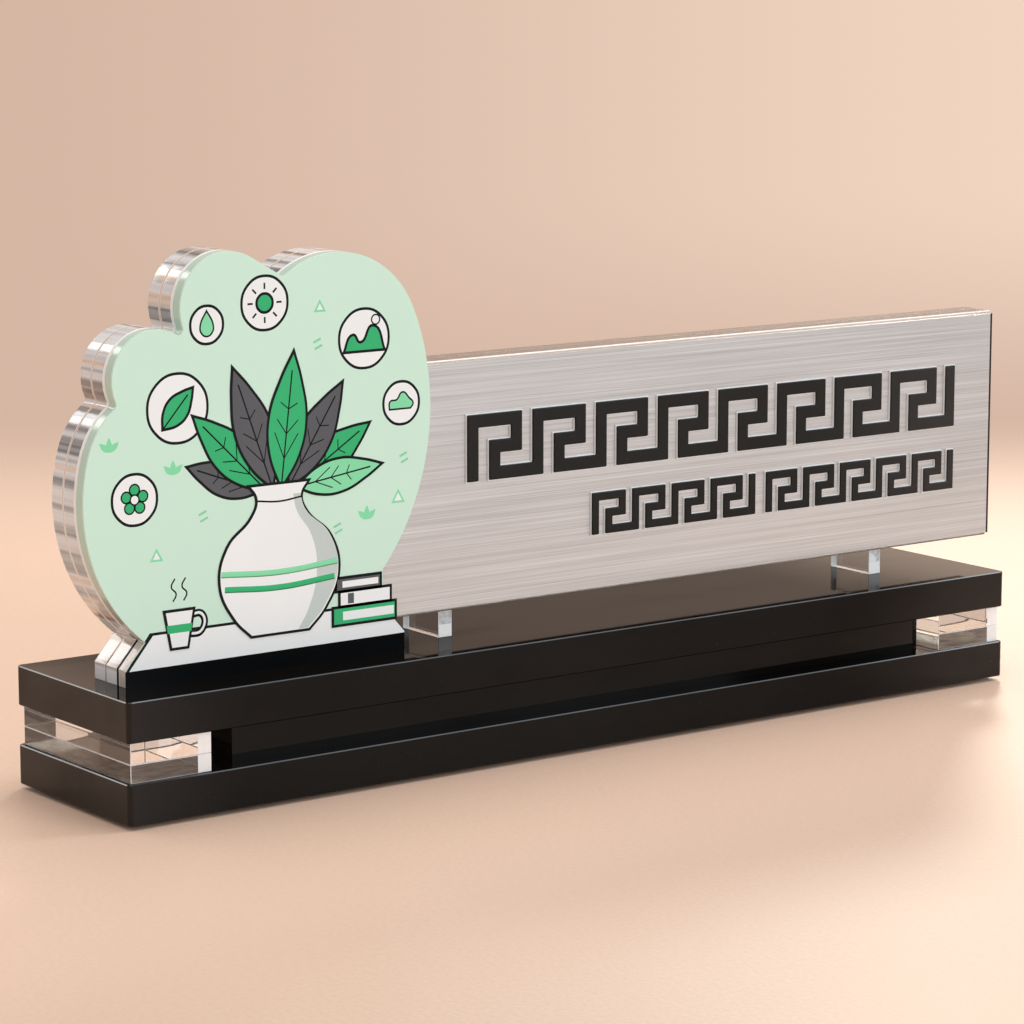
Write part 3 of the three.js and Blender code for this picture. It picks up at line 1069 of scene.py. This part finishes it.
right_side = [(VASE_MIDDLE + w, VASE_FOOT + h) for w, h in VASE_HALF]
left_side = [(VASE_MIDDLE - w, VASE_FOOT + h) for w, h in reversed(VASE_HALF)]
outlined("white", above_leaves, right_side + left_side, side_ends(len(VASE_HALF)))
shaded = VASE_HALF[:-1]
shade_foot = VASE_FOOT + SHADE_INSET
shade_outer = [(VASE_MIDDLE + w - SHADE_INSET, shade_foot + h) for w, h in shaded]
shade_inner = [(VASE_MIDDLE + w * SHADE_FROM, shade_foot + h) for w, h in reversed(shaded)]
draw("shade", above_leaves + 2, shade_outer + shade_inner, side_ends(len(shaded)))


def vase_line(colour, layer, half_width, height, dip, stroke):
    """A line across the vase, lower in its middle."""
    ends = [(VASE_MIDDLE + w, VASE_FOOT + height + dip) for w in (-half_width, half_width)]
    draw(colour, layer, [ends[0], (VASE_MIDDLE, VASE_FOOT + height), ends[1]], stroke=stroke)


vase_line("green", above_leaves + 3, 16.0, 11.6, 1.0, 1.5)
vase_line("light_green", above_leaves + 3, 17.0, 15.4, 1.0, 1.5)
vase_line("black", above_leaves + 4, 6.4, 33.0, 0.6, 0.45)
print("vase drawn")

# %% [markdown]
# The books lie in a pile at the right of the shelf. Each is a box with its pages or a label on it.
# The cup stands at the left. Its handle is a black stroke with a thinner white one on it, which
# gives a white handle with black outlines.

# %% Draw the books and the cup
BOOKS = (
    ("green", (59.5, 8.0, 19.0, 4.6), "white", (62.5, 9.2, 15.4, 2.2)),
    ("white", (61.5, 12.7, 15.5, 3.8), "slate", (64.0, 13.3, 1.8, 2.6)),
    ("slate", (60.5, 16.6, 13.5, 3.4), "white", (62.4, 17.5, 10.8, 1.6)),
)
for cover, cover_box, mark, mark_box in BOOKS:
    outlined(cover, above_leaves, box_of(*cover_box), BOX_CORNERS)
    draw(mark, above_leaves + 2, box_of(*mark_box), BOX_CORNERS)

cup = [(12.6, 8.0), (17.4, 8.0), (19.2, 17.4), (10.8, 17.4)]
cup_band = [(11.4, 13.9), (18.6, 13.9), (18.3, 11.9), (11.7, 11.9)]
handle = [(17.6, 15.8), (21.6, 15.6), (21.4, 11.8), (17.2, 11.2)]
draw("black", 3, handle, stroke=1.9)
draw("white", 4, handle, stroke=0.7)
outlined("white", above_leaves + 1, cup, BOX_CORNERS)
draw("green", above_leaves + 3, cup_band, BOX_CORNERS)
for start in (13.4, 16.4):
    steam = [(start, 19.6), (start + 0.9, 21.4), (start - 0.4, 23.2), (start + 0.6, 25.2)]
    draw("black", 1, steam, stroke=0.42)
print("books and cup drawn")

# %% [markdown]
# White discs of several sizes stand round the plant, each with a small picture: a leaf, a sun,
# hills, a drop, a flower and a cloud. A disc is an outlined ring of eight points, which a smooth
# curve turns into a circle.

# %% Draw the discs
DISCS = {
    "leaf": (15.5, 66.5, 8.4),
    "sun": (40.5, 90.2, 6.6),
    "hills": (69.5, 79.5, 7.4),
    "drop": (24.0, 86.0, 4.6),
    "flower": (3.2, 45.5, 6.2),
    "cloud": (80.6, 62.5, 5.4),
}
for u, v, radius in DISCS.values():
    outlined("white", 1, ring_of(u, v, radius))

outlined("green", 3, leaf_of(11.2, 61.6, 13.0, 6.4, 42), LEAF_TIPS)
draw("black", 5, [(11.2, 61.6), (18.4, 69.6)], stroke=0.4)

sun = DISCS["sun"][:2]
outlined("green", 3, ring_of(*sun, 2.3))
for inner, outer in zip(ring_of(*sun, 3.4), ring_of(*sun, 4.9)):
    draw("black", 3, [inner, outer], stroke=0.5)

hill_line = [(63.4, 76.3), (66.2, 80.6), (68.4, 78.6), (72.2, 82.6), (75.7, 76.3)]
outlined("green", 3, hill_line, (0, 4))
outlined("white", 3, ring_of(73.0, 84.0, 1.2), outline=0.4)

drop = [(24.0, 89.4), (22.2, 86.0), (22.4, 84.2), (24.0, 83.2), (25.6, 84.2), (25.8, 86.0)]
outlined("light_green", 3, drop, (0,), outline=0.45)

flower = DISCS["flower"][:2]
for petal in ring_of(*flower, 2.4, 5, math.pi / 2):
    outlined("green", 3, ring_of(*petal, 1.35), outline=0.4)
outlined("white", 5, ring_of(*flower, 1.2), outline=0.4)

cloud = [
    (77.0, 61.0), (77.2, 63.0), (79.2, 63.4), (81.0, 65.2), (83.0, 63.6), (84.2, 62.2), (83.4, 61.0)]
outlined("light_green", 3, cloud, (0, 6), outline=0.45)
print("discs drawn:", len(DISCS))

# %% [markdown]
# A printed ground looks empty between its main figures, so small light marks are strewn over it:
# open triangles, pairs of dashes, and sprigs of three small leaves.

# %% Draw the small marks
for u, v, size in ((27.0, 55.0, 1.9), (9.0, 31.0, 1.6), (56.5, 88.0, 1.5), (79.5, 38.5, 1.8)):
    triangle = ring_of(u, v, size, 3, math.pi / 2)
    draw("light_green", 1, triangle, (0, 1, 2), grow=0.3)
    draw("white", 2, triangle, (0, 1, 2), grow=-0.22)
for u, v in ((21.0, 40.0), (60.0, 33.0), (54.5, 79.5), (80.0, 49.0)):
    draw("light_green", 1, [(u, v), (u + 2.2, v + 0.9)], stroke=0.55)
    draw("light_green", 1, [(u + 0.4, v - 1.6), (u + 2.6, v - 0.7)], stroke=0.55)
for u, v in ((14.0, 50.5), (70.0, 34.0), (-3.5, 57.5)):
    for layer, lean in ((1, -48), (2, 48), (3, 0)):
        draw("light_green", layer, leaf_of(u, v, 3.6, 1.5, lean), LEAF_TIPS)
print("marks drawn")

# %% [markdown]
# All the shapes of one ink become one mesh, as one ink is laid down in one pass. A curve has to be
# made a mesh before its place can be moved into it.

# %% Make each ink one mesh
for colour, shapes in ink_shapes.items():
    bpy.ops.object.select_all(action="DESELECT")
    for shape in shapes:
        shape.select_set(True)
    bpy.context.view_layer.objects.active = shapes[0]
    bpy.ops.object.convert(target="MESH")
    bpy.ops.object.join()
    finish_piece(bpy.context.object, "print_" + colour, inks[colour])

# %% [markdown]
# The shelf is a white band along the foot of the plate, with a slanted left end and a black outline.
# It is a block, trimmed to the plate by a thick copy of the print sheet. Its outline is a second
# band below it, larger by a margin.

# %% Model the shelf, trimmed to the plate
SHELF_TOP = 12.3
SHELF_FOOT_LEFT = 0.4
SHELF_TOP_LEFT = 7.2
SLANT_SHARE = 1.3
CUTTER_THICKENING = 12
AT_CORNER = 1e-5


def trimmed_band(name, grow, layer, ink):
    """A band from the foot strip up, larger than the shelf by so many millimetres."""
    sheet_low, sheet_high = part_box("plate_print_sheet")
    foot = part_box("foot_strip")[1].z
    top = print_corner.z + (SHELF_TOP + grow) * MM
    left = print_corner.x + (SHELF_FOOT_LEFT - SLANT_SHARE * grow) * MM
    band = add_block(
        (left, sheet_low.y - INK_STEP * layer, foot), (sheet_high.x, sheet_low.y, top))
    edit_chosen(
        band, "VERT",
        lambda corner: corner.co.x < left + AT_CORNER and corner.co.z > top - AT_CORNER)
    bpy.ops.transform.translate(value=((SHELF_TOP_LEFT - SHELF_FOOT_LEFT) * MM, 0, 0))
    leave_edit()
    cutter = merged_copy("plate_print_sheet")
    bpy.ops.transform.resize(
        value=(1, CUTTER_THICKENING, 1), center_override=(sheet_low + sheet_high) / 2)
    leave_edit()
    cut_with(band, cutter, "INTERSECT")
    finish_piece(band, name, inks[ink])


trimmed_band("print_shelf_outline", INK_OUTLINE / 2, 1, "black")
trimmed_band("print_shelf", -INK_OUTLINE / 2, 2, "white")

# %% [markdown]
# Floor, backdrop and light
#
# The floor is a plain pale table top with a fine grain. It is painted a little darker near the front,
# as painted shade, and fades out behind the object by its alpha, so that it has no hard edge against
# the wall.

# %% The floor
VIEW_X = math.sin(math.radians(LOOK_RIGHT))
VIEW_Y = math.cos(math.radians(LOOK_RIGHT))
FLOOR_SIZE = 3.0
FADE_TURN = (0.25, 0.60)
NEAR_TURN = (-0.28, -0.08)
NEAR_SHADE_SHARE = (0.75, 0.75, 0.75)
NEAR_SLANT = 1.0
CLOUDY_SHARE = 0.5

bpy.ops.object.select_all(action="DESELECT")
bpy.ops.mesh.primitive_grid_add(x_subdivisions=8, y_subdivisions=8, size=FLOOR_SIZE, location=(0, 0, 0))
floor = bpy.context.object
floor.name = "floor"
floor_finish, tree, sockets, coordinates = new_material(
    "floor_finish", Roughness=0.45, IOR=1.4, Specular_IOR_Level=0.3)
grain = noise_node(tree, coordinates, 700.0, 3.0, 0.6)
cloudy = noise_node(tree, coordinates, 3.0)
speckled = math_node(tree, "MULTIPLY_ADD", cloudy, CLOUDY_SHARE, grain)
table_colour = blend_colours(
    tree, math_node(tree, "SUBTRACT", speckled, CLOUDY_SHARE / 2),
    (0.70, 0.482, 0.36), (0.82, 0.572, 0.43))
toward = along(tree, coordinates, (VIEW_X - NEAR_SLANT * VIEW_Y, VIEW_Y + NEAR_SLANT * VIEW_X, 0))
# Painted shade: the floor is darker towards the front.
painted_near_shade = mapped(tree, toward, *NEAR_TURN, 1.0, 0.0)
tree.links.new(
    blend_colours(tree, painted_near_shade, table_colour, NEAR_SHADE_SHARE, "MULTIPLY"), sockets["Base Color"])
tree.links.new(bump_normal(tree, grain, strength=0.15, distance=0.0004), sockets["Normal"])
away = along(tree, coordinates, (VIEW_X, VIEW_Y, 0))
tree.links.new(mapped(tree, away, *FADE_TURN, 1.0, 0.0), sockets["Alpha"])
floor.data.materials.append(floor_finish)
floor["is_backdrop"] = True
print("floor of", FLOOR_SIZE, "metres")

# %% [markdown]
# The world is a pale warm wall behind the object, lighter to the right, and a neutral room in front
# of it, which the glossy faces mirror. Matt surfaces take their light from a plain grey instead, so
# that the warm wall doesn't tint them.

# %% The world
WALL_LEFT = (0.66, 0.47, 0.37)
WALL_RIGHT = (0.90, 0.68, 0.545)
ROOM_FRONT = (0.82, 0.84, 0.86)
ROOM_LIGHT = (0.75, 0.75, 0.76)
WALL_TURN = (-0.16, 0.20)
TABLE_TURN = (-0.150, -0.075)
FRONT_TURN = (0.2, -0.2)

world = bpy.data.worlds.new("studio")
scene.world = world
world.use_nodes = True
tree = world.node_tree
direction = add_node(tree, "ShaderNodeTexCoord").outputs["Generated"]
rightward = mapped(tree, along(tree, direction, (VIEW_Y, -VIEW_X, 0)), *WALL_TURN)
above_table = mapped(tree, part_of(tree, direction, "Z"), *TABLE_TURN)
wall = blend_colours(
    tree, math_node(tree, "MULTIPLY", rightward, above_table), WALL_LEFT, WALL_RIGHT)
in_front = mapped(tree, part_of(tree, direction, "Y"), *FRONT_TURN)
room = blend_colours(tree, in_front, wall, ROOM_FRONT)
path = add_node(tree, "ShaderNodeLightPath")
lit = blend_colours(tree, path.outputs["Is Diffuse Ray"], room, ROOM_LIGHT)
tree.links.new(lit, tree.nodes["Background"].inputs["Color"])
print("world:", world.name)

# %% [markdown]
# A large soft lamp hangs overhead, a warm one stands behind to the right, and a wide cool one fills
# the front. Two small lamps stand where the chamfers of the slabs mirror them, one for the front
# rims and one for the rim of the left end.

# %% The lamps
# Each has its place, its aim, its width and height, its power in watts and its colour.
LAMPS = {
    "overhead": ((0.0, 0.1, 1.6), (0, 0, 0.05), (1.4, 1.2), 7, (1.0, 0.97, 0.92)),
    "back_right": ((1.8, 1.7, 1.3), (0, 0, 0.05), (0.4, 0.4), 20, (1.0, 0.95, 0.84)),
    "front_fill": ((1.0, -2.6, 0.8), (0, 0, 0.06), (2.0, 1.2), 30, (0.84, 0.93, 1.0)),
    "edge_front": ((1.18, -0.43, 1.58), (0, 0, 0.02), (0.35, 0.85), 8, (0.84, 0.92, 1.0)),
    "edge_left": ((-0.593, 1.79, 1.04), (-0.146, 0, 0.03), (0.3, 0.3), 1.7, (1.0, 0.99, 0.97)),
}
for name, (place, aim, size, power, colour) in LAMPS.items():
    lamp_data = bpy.data.lights.new(name, "AREA")
    lamp_data.shape = "RECTANGLE"
    lamp_data.size, lamp_data.size_y = size
    lamp_data.energy = power
    lamp_data.color = colour
    lamp = bpy.data.objects.new(name, lamp_data)
    lamp.location = place
    lamp.rotation_euler = (Vector(aim) - Vector(place)).to_track_quat("-Z", "Y").to_euler()
    scene.collection.objects.link(lamp)
print("lamps:", len(LAMPS))

# %% [markdown]
# Sizes, and the end
#
# The box round the dressed model is printed, in metres. The dressed model has to stay the
# size of the solids.

# %% Print the size of the dressed model
low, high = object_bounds()
print("visual box in metres:", tuple(round(s, 4) for s in high - low))
